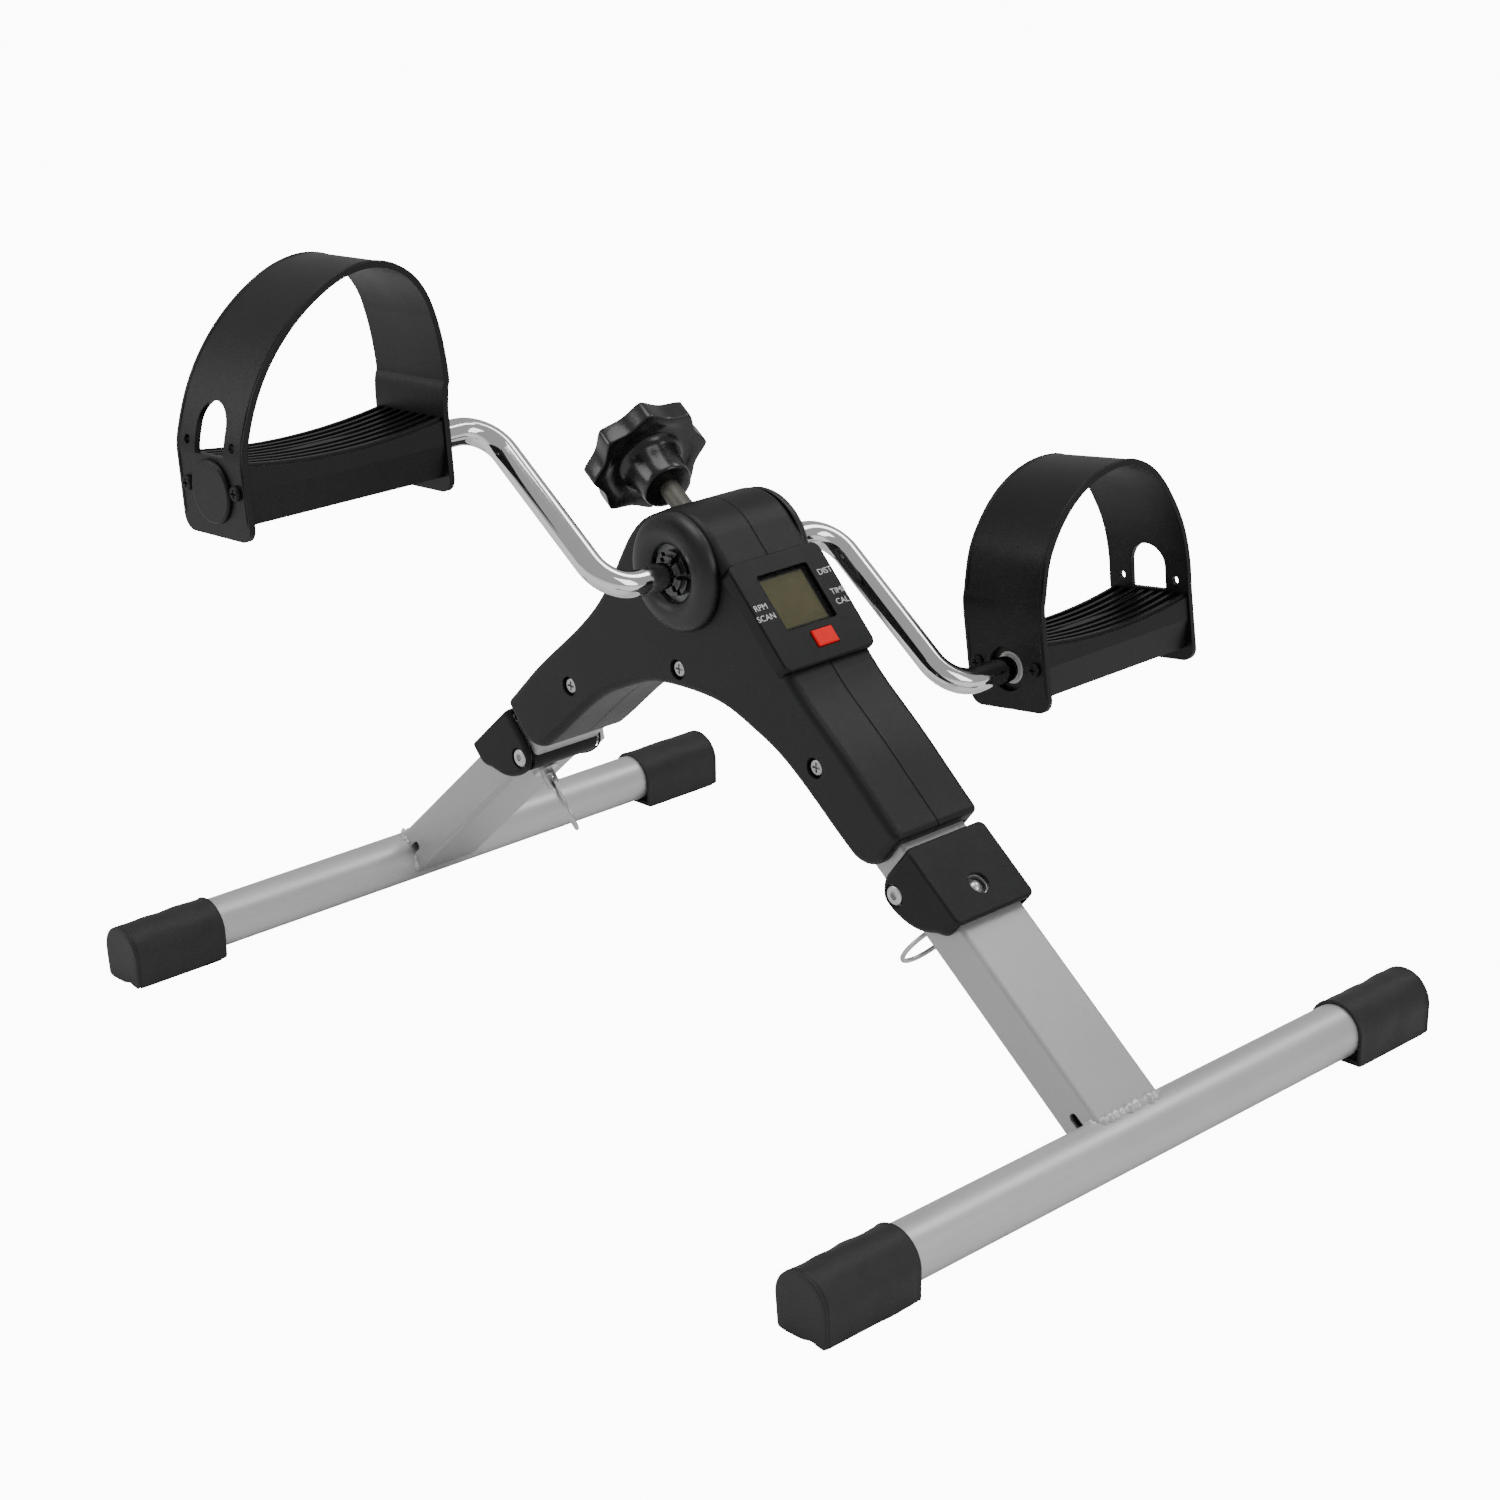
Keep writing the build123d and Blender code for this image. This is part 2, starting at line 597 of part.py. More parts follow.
def console_case():
    """Low case on the front shoulder with a tray dropping through the housing."""
    shape = slab(DISPLAY_TOP_S, DISPLAY_END_S, DISPLAY_HALF, DISPLAY_SEAT - 4.5, DISPLAY_FACE, 4.5)
    rim = [e for e in shape.edges() if abs(e.center().Z - DISPLAY_FACE) < 0.01]
    shape = fillet(rim, 0.9)
    shape = shape - block(-200, -50, -HOUSE_HALF - 0.05, HOUSE_HALF + 0.05, 100, DISPLAY_SEAT)
    tray = slab(-143.8, -99.2, 21.0, 171.8, DISPLAY_SEAT + 0.5, 1.5)
    tray = tray - slab(-142.3, -100.7, 19.5, 173.2, DISPLAY_SEAT + 1, 1.0)
    shape = shape + tray
    shape = shape - slab(-142.3, -100.7, 19.5, 173.2, 182.0, 1.0)
    shape = shape - slab(WINDOW[0], WINDOW[1], WINDOW[2], 180, 190, 1.2)
    shape = shape - block(BUTTON_S - BUTTON_LEN / 2 - 0.25, BUTTON_S + BUTTON_LEN / 2 + 0.25,
                          BUTTON_Y - BUTTON_WIDE / 2 - 0.25, BUTTON_Y + BUTTON_WIDE / 2 + 0.25,
                          178.8, 190)
    return FACE_PLANE.location * shape


def lcd_window():
    return FACE_PLANE.location * slab(WINDOW[0], WINDOW[1], WINDOW[2], 182.0, 183.1, 1.2)


def lcd_panel():
    return FACE_PLANE.location * block(-142.0, -110.8, -17.0, 17.0, 179.2, 181.9)


def circuit_board():
    return FACE_PLANE.location * block(-142.2, -100.8, -19.0, 19.0, 177.5, 179.1)


def battery_cell():
    return FACE_PLANE.location * rod_z(-121.0, 0, 5.8, 173.25, 177.45)


def mode_button():
    cap = block(BUTTON_S - BUTTON_LEN / 2, BUTTON_S + BUTTON_LEN / 2,
                BUTTON_Y - BUTTON_WIDE / 2, BUTTON_Y + BUTTON_WIDE / 2, 180.4, 185.5)
    cap = fillet([e for e in cap.edges() if abs(e.center().Z - 185.5) < 0.01], 0.6)
    flange = block(-108.9, -101.6, BUTTON_Y - 7.4, BUTTON_Y + 7.4, 180.4, 181.4)
    return FACE_PLANE.location * (cap + flange)


# ======================= pedals ===============================================================
def pedal_place(shape, hand):
    """From pedal coordinates, built for the right pedal, to its place on the crank."""
    x, z = crank_ends()
    if hand == "right":
        return Pos(-x, 0, 2 * HUB_Z - z) * Rot(0, -PEDAL_TILT["right"], 0) * shape
    return Pos(x, 0, z) * Rot(0, -PEDAL_TILT["left"], 0) * mirror(shape, about=Plane.XZ)


PEDAL_Y0 = STRAP_IN_Y + STRAP_THICK
PEDAL_Y1 = STRAP_OUT_Y - STRAP_THICK
STRAP_SCREWS = [(-18.5, 1.5), (18.5, 1.5)]
TREAD_LOW = 8.8
TREAD_ARC = 310.0
RIBS = 8
RIB_STEP = 6.3


def scoop(floor_z, radius):
    """A long shallow trough over the tread, to be cut away; its floor is lowest mid-way."""
    middle = (STRAP_IN_Y + STRAP_OUT_Y) / 2
    return Pos(0, middle, floor_z + radius) * Rot(0, 90, 0) * Cylinder(radius, 80)


def pedal_body():
    """Hollow tread block, open below, with a spindle tube and ribs along the scooped top."""
    shape = prism_y([(-24.0, 17.0), (24.0, 17.0), (24.4, 16.0), (24.4, 2.0), (20.8, -13.0),
                     (-20.8, -13.0), (-24.4, 2.0), (-24.4, 16.0)], PEDAL_Y0, PEDAL_Y1)
    shape = shape - scoop(TREAD_LOW, TREAD_ARC)
    for k in range(RIBS):
        x = RIB_STEP * (k - (RIBS - 1) / 2)
        rib = block(x - 1.1, x + 1.1, PEDAL_Y0, PEDAL_Y1, 6.0, 20.0)
        shape = shape + (rib - scoop(TREAD_LOW + 1.5, TREAD_ARC))
    shape = shape - prism_y([(-21.4, 6.4), (21.4, 6.4), (21.4, 2.4), (18.0, -14.0),
                             (-18.0, -14.0), (-21.4, 2.4)], PEDAL_Y0 + 3, PEDAL_Y1 - 3)
    shape = shape + rod_y(0, 0, 10.2, PEDAL_Y0, PEDAL_Y1)
    for x, z in STRAP_SCREWS:
        shape = shape + rod_y(x, z, 4.2, PEDAL_Y0, PEDAL_Y0 + 14)
        shape = shape + rod_y(x, z, 4.2, PEDAL_Y1 - 14, PEDAL_Y1)
    shape = shape - rod_y(0, 0, 8.0, 0, PEDAL_Y0 + 14) - rod_y(0, 0, 7.4, 0, 300)
    shape = shape - rod_y(0, 0, 8.0, PEDAL_Y1 - 22, 300)
    shape = shape - rod_y(0, 0, 9.4, PEDAL_Y1 - 8, 300)
    for x, z in STRAP_SCREWS:
        shape = shape - rod_y(x, z, 1.6, PEDAL_Y0 - 1, PEDAL_Y0 + 11)
        shape = shape - rod_y(x, z, 1.6, PEDAL_Y1 - 11, PEDAL_Y1 + 1)
    return max(shape.solids(), key=lambda s: s.volume)


def pedal_bushings():
    bore = rod_y(0, 0, ROD_R + ROD_RUN, 0, 300)
    inner = rod_y(0, 0, 8.0, PEDAL_Y0, PEDAL_Y0 + 14) - bore
    outer = rod_y(0, 0, 8.0, PEDAL_Y1 - 22, PEDAL_Y1 - 8) - bore
    return Compound(children=[inner, outer])


# Strap outlines, (distance from the middle plane, height over the spindle), from the outer
# flap over the top to the inner flap.  Both soft straps lean the same way, to the right.
STRAP_ARCH = {
    "left": [(222.1, 14.0), (219.8, 26.0), (215.2, 38.0), (206.5, 53.0), (193.5, 67.5),
             (177.0, 79.5), (159.0, 87.0), (145.0, 88.0), (132.0, 84.0), (122.0, 75.0),
             (115.5, 60.0), (112.6, 44.0), (111.8, 30.0), (113.9, 12.0)],
    "right": [(222.1, 16.0), (222.6, 26.0), (222.2, 36.0), (219.6, 50.0), (213.2, 65.0),
              (203.5, 79.0), (190.0, 87.5), (174.0, 89.0), (157.0, 85.5), (141.0, 77.0),
              (128.5, 65.0), (120.5, 52.0), (115.6, 36.0), (113.9, 14.0)],
}


def strap_outline(hand):
    """Closed outline of the band's outer face in the YZ plane."""
    arch = STRAP_ARCH[hand]
    edges = [Spline(*arch, tangents=[(0, 1), (0, -1)]),
             Line(arch[-1], (STRAP_IN_Y, STRAP_LOW)),
             Line((STRAP_IN_Y, STRAP_LOW), (STRAP_OUT_Y, STRAP_LOW)),
             Line((STRAP_OUT_Y, STRAP_LOW), arch[0])]
    return make_face(Wire(edges))


def strap(hand):
    face = strap_outline(hand)
    outer = drawn_x(face, -STRAP_HALF, STRAP_HALF)
    inner = drawn_x(redrawn(offset(face, amount=-STRAP_THICK)), -40, 40)
    inner = inner + block(-40, 40, STRAP_IN_Y + STRAP_THICK, STRAP_OUT_Y - STRAP_THICK,
                          STRAP_LOW - 10, 0)
    band = outer - inner
    feet = [e for e in band.edges().filter_by(Axis.Y) if e.center().Z < STRAP_LOW + 0.1]
    band = fillet(feet, 7.0)
    notch = block(-11, 11, 195, 240, 15.5, 27) + rod_y(0, 27, 11, 195, 240)
    band = band - notch
    for x in (-17.2, 17.2):
        band = band - rod_y(x, 20.5, 2.1, 195, 240)
    band = band - rod_y(0, 0, 11.0, 100, 130) - rod_y(0, 0, 9.6, 200, 240)
    for x, z in STRAP_SCREWS:
        band = band - rod_y(x, z, 1.75, 100, 240)
    return band


def strap_screws():
    screws = []
    for x, z in STRAP_SCREWS:
        head = rod_y(x, z, 3.4, STRAP_OUT_Y, STRAP_OUT_Y + 1.9)
        head = fillet([e for e in head.edges() if e.center().Y > STRAP_OUT_Y + 1.8], 0.9)
        head = head - block(x - 2, x + 2, STRAP_OUT_Y + 0.9, 300, z - 0.4, z + 0.4)
        head = head - block(x - 0.4, x + 0.4, STRAP_OUT_Y + 0.9, 300, z - 2, z + 2)
        one = head + rod_y(x, z, 1.6, PEDAL_Y1 - 9, STRAP_OUT_Y)
        screws.append(one)
        middle = (STRAP_OUT_Y + STRAP_IN_Y) / 2
        screws.append(mirror(one, about=Plane.XZ.offset(-middle)))
    return Compound(children=screws)


def dust_cap():
    disc = rod_y(0, 0, 14.2, STRAP_OUT_Y, STRAP_OUT_Y + 1.9)
    disc = fillet([e for e in disc.edges() if e.center().Y > STRAP_OUT_Y + 1.8], 1.2)
    return disc + rod_y(0, 0, 9.3, PEDAL_Y1 - 0.9, STRAP_OUT_Y)


def spindle_nuts():
    """Push-on nuts that keep the pedals on the crank ends."""
    x, z = crank_ends()
    nut = rod_y(0, 0, 8.4, PEDAL_Y1 - 7.8, PEDAL_Y1 - 2.6) - rod_y(0, 0, ROD_R, 0, 300)
    right = Pos(-x, 0, 2 * HUB_Z - z) * nut
    left = Pos(x, 0, z) * mirror(nut, about=Plane.XZ)
    return Compound(children=[right, left])


# ======================= write every node ======================================================
for side in ("front", "rear"):
    save(foot_bar(side), f"{side}_foot_bar")
    save(end_cap(side, "left"), f"{side}_cap_left")
    save(end_cap(side, "right"), f"{side}_cap_right")
    save(arm(side), f"{side}_arm")
    save(leg(side), f"{side}_leg")
    save(hinge_bracket(side), f"{side}_hinge_bracket")
    save(hinge_cover(side), f"{side}_hinge_cover")
    save(knuckle(side), f"{side}_knuckle")
    save(pivot_bolt(side), f"{side}_pivot_bolt")
    save(lock_pin(side), f"{side}_lock_pin")
    save(pull_ring(side), f"{side}_pull_ring")
save(Compound(children=[to_side(pivot_nut(), "front"), to_side(pivot_nut(), "rear")]), "pivot_nuts")

save(hub_tube(), "hub_tube")
save(hub_bushings(), "hub_bushings")
save(crank(), "crank")
save(crank_drum(), "crank_drum")
save(sensor_magnet(), "sensor_magnet")
save(crank_nuts(), "crank_nuts")
save(spindle_nuts(), "spindle_nuts")
save(brake_plunger(), "brake_plunger")
save(brake_felt(), "brake_felt")
save(tension_stud(), "tension_stud")
save(tension_nut(), "tension_nut")
save(tension_knob(), "tension_knob")
save(reed_sensor(), "reed_sensor")

for hand in ("left", "right"):
    save(housing(hand), f"housing_{hand}")
    save(hub_cover(hand), f"hub_cover_{hand}")
    save(pedal_place(pedal_body(), hand), f"pedal_body_{hand}")
    save(pedal_place(pedal_bushings(), hand), f"pedal_bushings_{hand}")
    save(pedal_place(strap(hand), hand), f"strap_{hand}")
    save(pedal_place(strap_screws(), hand), f"strap_screws_{hand}")
    save(pedal_place(dust_cap(), hand), f"dust_cap_{hand}")
save(housing_screws(), "housing_screws")

save(console_case(), "console_case")
save(lcd_window(), "lcd_window")
save(lcd_panel(), "lcd_panel")
save(circuit_board(), "circuit_board")
save(battery_cell(), "battery_cell")
save(mode_button(), "mode_button")
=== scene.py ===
import math

import bmesh
import bpy
from mathutils import Matrix, Vector, noise


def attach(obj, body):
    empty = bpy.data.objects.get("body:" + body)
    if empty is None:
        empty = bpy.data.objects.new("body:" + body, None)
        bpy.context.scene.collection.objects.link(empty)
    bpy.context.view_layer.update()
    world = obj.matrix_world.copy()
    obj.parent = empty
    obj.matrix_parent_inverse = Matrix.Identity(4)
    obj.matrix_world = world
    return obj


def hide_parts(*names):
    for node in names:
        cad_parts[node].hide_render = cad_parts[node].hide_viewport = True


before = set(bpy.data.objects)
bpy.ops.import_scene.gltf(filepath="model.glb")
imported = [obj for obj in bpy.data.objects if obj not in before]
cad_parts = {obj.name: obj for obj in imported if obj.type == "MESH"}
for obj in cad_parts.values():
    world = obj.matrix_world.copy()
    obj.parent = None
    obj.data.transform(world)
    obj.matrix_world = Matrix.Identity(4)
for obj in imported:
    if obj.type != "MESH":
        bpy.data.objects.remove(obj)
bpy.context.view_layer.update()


# ---- Painted steel frame -------------------------------------------------------------
# Two rectangular arms meet over the hub and two legs end in round floor bars. All of it
# is welded mild steel under one coat of metallic grey stoving paint.

class Signal:
    """A number on a socket, so that shader maths reads as plain sums."""

    def __init__(self, socket):
        self.socket = socket

    def join(self, operation, other=0.0, swapped=False):
        pair = (other, self) if swapped else (self, other)
        return add_node(self.socket.id_data, "ShaderNodeMath", {"operation": operation},
                        {0: pair[0], 1: pair[1]})

    def __add__(self, other):
        return self.join("ADD", other)

    def __radd__(self, other):
        return self.join("ADD", other, swapped=True)

    def __sub__(self, other):
        return self.join("SUBTRACT", other)

    def __rsub__(self, other):
        return self.join("SUBTRACT", other, swapped=True)

    def __mul__(self, other):
        return self.join("MULTIPLY", other)

    def __rmul__(self, other):
        return self.join("MULTIPLY", other, swapped=True)

    def __gt__(self, other):
        return self.join("GREATER_THAN", other)

    def __lt__(self, other):
        return self.join("LESS_THAN", other)

    def size(self):
        return self.join("ABSOLUTE")


def add_node(tree, kind, settings=None, inputs=None, output=0):
    """Any shader node: its settings are set first, then the values or links of its sockets."""
    node = tree.nodes.new(kind)
    for name, value in (settings or {}).items():
        setattr(node, name, value)
    for name, value in (inputs or {}).items():
        if isinstance(value, Signal):
            tree.links.new(value.socket, node.inputs[name])
        else:
            node.inputs[name].default_value = value
    return Signal(node.outputs[output])


def start_finish(name, **constants):
    """A material with its Principled shader's constant sockets set; returns it and its parts."""
    material = bpy.data.materials.new(name)
    material.use_nodes = True
    tree = material.node_tree
    shader = tree.nodes["Principled BSDF"]
    for key, value in constants.items():
        shader.inputs[key.replace("_", " ")].default_value = value
    where = add_node(tree, "ShaderNodeTexCoord", output=3)
    return material, tree, shader, where


def grain(tree, where, scale, detail=3.0, roughness=0.5, stretch=None):
    """Noise from 0 to 1 in object space, with its features about 1/scale metres across."""
    place = where
    if stretch:
        place = add_node(tree, "ShaderNodeVectorMath", {"operation": "MULTIPLY"},
                         {0: where, 1: stretch})
    return add_node(tree, "ShaderNodeTexNoise", None,
                    {"Vector": place, "Scale": scale, "Detail": detail, "Roughness": roughness})


def tint(tree, amount, dark, light):
    """A colour between two others, by a signal from 0 to 1."""
    return add_node(tree, "ShaderNodeMix", {"data_type": "RGBA"},
                    {0: amount, 6: (*dark, 1.0), 7: (*light, 1.0)}, output=2)


def soften(tree, height, depth, radius):
    """Relief from a height signal, over edges that are slightly rounded."""
    base = add_node(tree, "ShaderNodeBevel", {"samples": 4}, {"Radius": radius})
    return add_node(tree, "ShaderNodeBump", None,
                    {"Strength": 1.0, "Distance": depth, "Height": height, "Normal": base})


def plug(tree, shader, **signals):
    """Links signals to the shader's sockets by name."""
    for key, value in signals.items():
        tree.links.new(value.socket, shader.inputs[key.replace("_", " ")])


def dress(material, *names):
    """Gives CAD nodes this material in all their slots."""
    for name in names:
        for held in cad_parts[name].material_slots:
            held.material = material


def stove_paint(name, dark, light):
    """The metallic paint between a dark and a light grey; a darker copy of it paints shade on the
    arms and legs.
    """
    paint, tree, shader, where = start_finish(name, Coat_Weight=0.12, Coat_Roughness=0.3, IOR=1.5)
    flakes = grain(tree, where, 2600, 1.0)
    clouds = grain(tree, where, 26, 3.0)
    orange_peel = grain(tree, where, 420, 2.0)
    plug(tree, shader,
         Base_Color=tint(tree, 0.55 * clouds + 0.45 * flakes, (dark, dark, dark + 0.01),
                         (light, light, light + 0.01)),
         Metallic=0.42 + 0.25 * flakes,
         Roughness=0.33 + 0.16 * clouds,
         Normal=soften(tree, orange_peel + 0.35 * flakes, 0.00006, 0.0006))
    return paint


grey_paint = stove_paint("grey_paint", 0.52, 0.63)
dress(grey_paint, "hub_tube", "front_foot_bar", "rear_foot_bar")
# The arms and legs take a darker copy of the same paint: painted shade on these sloping tubes, not
# a different paint.
leg_paint_with_painted_shade = stove_paint("leg_paint_with_painted_shade", 0.40, 0.50)
dress(leg_paint_with_painted_shade, "front_arm", "rear_arm", "front_leg", "rear_leg")


# ---- Weld beads ----------------------------------------------------------------------
# Each leg is coped onto its floor bar and welded all round in short runs, then painted
# over. The runs stop short at the vent slots in the leg's two sides.

SLOPE = math.radians(40.0)
BAR_ALONG, BAR_OUT, BAR_RADIUS = 0.1804, 0.17161, 0.0130
TOP_BEAD, SIDE_BEAD = 0.0027, 0.0015


def leg_point(side, along, across, out):
    """A point from distances along a leg, across it and out from its underside."""
    x = math.cos(SLOPE) * along + math.sin(SLOPE) * out
    z = -math.sin(SLOPE) * along + math.cos(SLOPE) * out
    return Vector((x if side == "front" else -x, across, z))


def new_piece(name, mesh, material, body):
    """A finished mesh becomes a piece that rides on a body."""
    piece = bpy.data.objects.new(name, mesh)
    bpy.context.scene.collection.objects.link(piece)
    for face in mesh.polygons:
        face.use_smooth = True
    mesh.materials.append(material)
    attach(piece, body)
    return piece


def loft(rings, first_cap=True, last_cap=True):
    """A skin over closed rings of equal point count, with or without its two end faces."""
    mesh = bpy.data.meshes.new("loft")
    count = len(rings[0])
    points = [p for ring in rings for p in ring]
    faces = []
    for r in range(len(rings) - 1):
        for k in range(count):
            a = r * count + k
            b = r * count + (k + 1) % count
            faces.append((a, b, b + count, a + count))
    if first_cap:
        faces.append(tuple(reversed(range(count))))
    if last_cap:
        faces.append(tuple(range((len(rings) - 1) * count, len(rings) * count)))
    mesh.from_pydata([tuple(p) for p in points], [], faces)
    skin = bmesh.new()
    skin.from_mesh(mesh)
    bmesh.ops.recalc_face_normals(skin, faces=skin.faces)
    skin.to_mesh(mesh)
    skin.free()
    return mesh


def bead(path, radius, seed):
    """A rippled weld run along a path."""
    rings = []
    for k, point in enumerate(path):
        ahead = path[min(k + 1, len(path) - 1)] - path[max(k - 1, 0)]
        along = ahead.normalized()
        side = along.cross(Vector((0.31, 0.2, 0.93))).normalized()
        up = side.cross(along)
        ripple = 1.0 + 0.26 * math.sin(k * 1.3 + seed) + 0.55 * noise.noise(point * 330)
        taper = min(1.0, 0.25 + 0.45 * min(k, len(path) - 1 - k))
        size = radius * ripple * taper
        drift = Vector((0.0012, 0, 0.0012)) * noise.noise(point * 260 + Vector((seed, 0, 0)))
        rings.append([point + drift + size * (math.cos(a) * side + math.sin(a) * up)
                      for a in [2 * math.pi * i / 10 for i in range(10)]])
    return loft(rings)


def out_to_along(out):
    """How far along the leg the bar's surface is, at a height on the leg's side."""
    rise = out - BAR_OUT
    return BAR_ALONG - math.sqrt(BAR_RADIUS ** 2 - rise ** 2)


for side in ("front", "rear"):
    runs = {"top": [leg_point(side, out_to_along(0.1816) - 0.0003, -0.019 + 0.038 * k / 44, 0.1817)
                    for k in range(45)]}
    for hand, across in (("left", -0.0200), ("right", 0.0200)):
        for label, low, high in (("upper", 0.1742, 0.1812), ("lower", 0.1602, 0.1672)):
            heights = [low + (high - low) * k / 10 for k in range(11)]
            runs[f"{hand}_{label}"] = [leg_point(side, out_to_along(h), across, h)
                                       for h in heights]
    for seed, (label, path) in enumerate(runs.items()):
        radius = TOP_BEAD if label == "top" else SIDE_BEAD
        new_piece(f"{side}_weld_{label}", bead(path, radius, seed), grey_paint,
                  f"{side}_leg")


# ---- Rubber feet ---------------------------------------------------------------------
# Soft D-shaped caps pushed over the bar ends, flat underneath. The thin rubber puckers
# a little where it stretches over the tube, which shows as shallow dents.

rubber, tree, shader, where = start_finish("cap_rubber", IOR=1.5, Specular_IOR_Level=0.34)
pores = grain(tree, where, 1500, 3.0)
scuffs = grain(tree, where, 70, 5.0, 0.65)
plug(tree, shader,
     Base_Color=tint(tree, scuffs, (0.010, 0.010, 0.0105), (0.026, 0.026, 0.027)),
     Roughness=0.40 + 0.26 * scuffs,
     Normal=soften(tree, 0.4 * pores + scuffs, 0.00022, 0.0004))

BAR_X, BAR_Z = 0.2485, 0.0155
CAP_IN, CAP_OUT, CAP_RADIUS, CAP_FOOT = 0.1423, 0.1950, 0.0151, 0.0146


def sole_height(y, across):
    """How far the sole stands off the floor: rounded inner corner, wavy outer edge."""
    near = max(0.0, 1.0 - (abs(y) - CAP_IN) / 0.0046)
    far = max(0.0, 1.0 - (CAP_OUT - abs(y)) / 0.0090)
    corner = 0.0028 * (1.0 - math.sqrt(1.0 - near * near))
    wave = 0.0013 * math.exp(-((across - 0.0052) / 0.0036) ** 2)
    edge = 0.0009 * max(0.0, (-across - 0.0090) / 0.0056) ** 1.5
    return corner + (wave + edge) * far ** 0.7


def cap_ring(x, y, inset, wobble):
    """One cross-section of a cap: round over the tube, straight sides and a flat foot."""
    ring = []
    for k in range(33):
        a = math.radians(-6 + 192 * k / 32)
        ring.append((math.cos(a) * (CAP_RADIUS - inset), math.sin(a) * (CAP_RADIUS - inset)))
    foot = CAP_FOOT - inset
    corner = 0.0022
    low = -BAR_Z + inset * 0.8
    for k in range(6):
        a = math.radians(180 + 90 * k / 5)
        ring.append((-foot + corner + math.cos(a) * corner, low + corner + math.sin(a) * corner))
    for k in range(1, 16):
        ring.append((-foot + corner + (2 * foot - 2 * corner) * k / 16, low))
    for k in range(6):
        a = math.radians(270 + 90 * k / 5)
        ring.append((foot - corner + math.cos(a) * corner, low + corner + math.sin(a) * corner))
    points = []
    for px, pz in ring:
        spot = Vector((px, y, pz))
        dent = wobble * (0.5 + 0.5 * noise.noise(spot * 95 + Vector((x * 40, 0, 3.0))))
        on_sole = pz <= low + 0.0001
        shrink = 1.0 if on_sole else 1.0 - dent / CAP_RADIUS
        height = max(BAR_Z + pz * shrink, sole_height(y, px) + inset * 0.8)
        points.append(Vector((x + px * shrink, y, height)))
    return points


for side, x in (("front", BAR_X), ("rear", -BAR_X)):
    for hand, sign in (("left", -1), ("right", 1)):
        stations = [(CAP_IN + 0.0014, 0.0021, 0), (CAP_IN + 0.0003, 0.0021, 0), (CAP_IN, 0.0017, 0),
                    (CAP_IN, 0.0006, 0), (CAP_IN + 0.0006, 0.0001, 0.0002)]
        stations += [(CAP_IN + 0.0016 + 0.0482 * k / 30, 0.0, 0.0012) for k in range(31)]
        stations += [(CAP_OUT - 0.0023, 0.0001, 0.0007), (CAP_OUT - 0.0019, 0.0006, 0.0005),
                     (CAP_OUT - 0.0015, 0.0008, 0.0004), (CAP_OUT - 0.0012, 0.0005, 0.0004),
                     (CAP_OUT - 0.0008, 0.0003, 0.0004), (CAP_OUT - 0.0004, 0.0004, 0.0004),
                     (CAP_OUT - 0.0001, 0.0008, 0.0004), (CAP_OUT, 0.0013, 0.0003),
                     (CAP_OUT, 0.0040, 0.0001), (CAP_OUT - 0.0002, 0.0100, 0.0)]
        rings = [cap_ring(x, sign * y, inset, wobble) for y, inset, wobble in stations]
        cap = new_piece(f"{side}_foot_cap_{hand}", loft(rings), rubber,
                        f"{side}_leg")
        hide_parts(f"{side}_cap_{hand}")


# ---- Hinge covers, knuckles and hinge steel --------------------------------------------
# Folded steel brackets under moulded black covers hold each leg on a shouldered bolt.
# The covers have a fine moulded grain; the steel is zinc plated and lightly brushed.

moulded_black, tree, shader, where = start_finish("moulded_black", IOR=1.48,
                                                  Specular_IOR_Level=0.26)
texture = grain(tree, where, 2300, 2.0)
sheen_map = grain(tree, where, 45, 4.0, 0.6)
plug(tree, shader,
     Base_Color=tint(tree, sheen_map, (0.0035, 0.0035, 0.0038), (0.008, 0.008, 0.0085)),
     Roughness=0.36 + 0.14 * sheen_map + 0.05 * texture,
     Normal=soften(tree, texture + 0.5 * sheen_map, 0.00005, 0.0007))
dress(moulded_black, "front_hinge_cover", "rear_hinge_cover", "front_knuckle", "rear_knuckle",
      "reed_sensor")

zinc, tree, shader, where = start_finish("zinc_plate", Metallic=1.0)
brushing = grain(tree, where, 900, 2.0, 0.5, (1.0, 0.12, 1.0))
spots = grain(tree, where, 260, 4.0)
plug(tree, shader,
     Base_Color=tint(tree, spots, (0.50, 0.50, 0.51), (0.74, 0.74, 0.75)),
     Roughness=0.20 + 0.16 * brushing + 0.10 * spots,
     Normal=soften(tree, brushing, 0.00004, 0.0003))
dress(zinc, "front_hinge_bracket", "rear_hinge_bracket", "front_pivot_bolt", "rear_pivot_bolt",
      "pivot_nuts", "front_lock_pin", "rear_lock_pin", "front_pull_ring", "rear_pull_ring",
      "tension_nut", "spindle_nuts", "battery_cell")

screw_black, tree, shader, where = start_finish("bright_screw", Metallic=1.0)
wear = grain(tree, where, 700, 4.0)
plug(tree, shader,
     Base_Color=tint(tree, wear, (0.34, 0.34, 0.35), (0.62, 0.62, 0.63)),
     Roughness=0.26 + 0.2 * wear,
     Normal=soften(tree, wear, 0.00004, 0.0002))
dress(screw_black, "housing_screws")


# ---- Hub, crank and brake ---------------------------------------------------------------
# One chromed bar is bent into both crank arms and both pedal spindles. It turns in nylon
# bushings, and a felt-faced plunger can be screwed against the drum in the middle.

chrome, tree, shader, where = start_finish("crank_chrome", Metallic=1.0, IOR=2.0)
haze = grain(tree, where, 55, 5.0, 0.6)
pits = grain(tree, where, 1400, 2.0)
plug(tree, shader,
     Base_Color=tint(tree, haze, (0.74, 0.74, 0.75), (0.86, 0.86, 0.87)),
     Roughness=0.045 + 0.07 * haze * pits,
     Normal=soften(tree, haze, 0.00004, 0.0004))
dress(chrome, "crank")

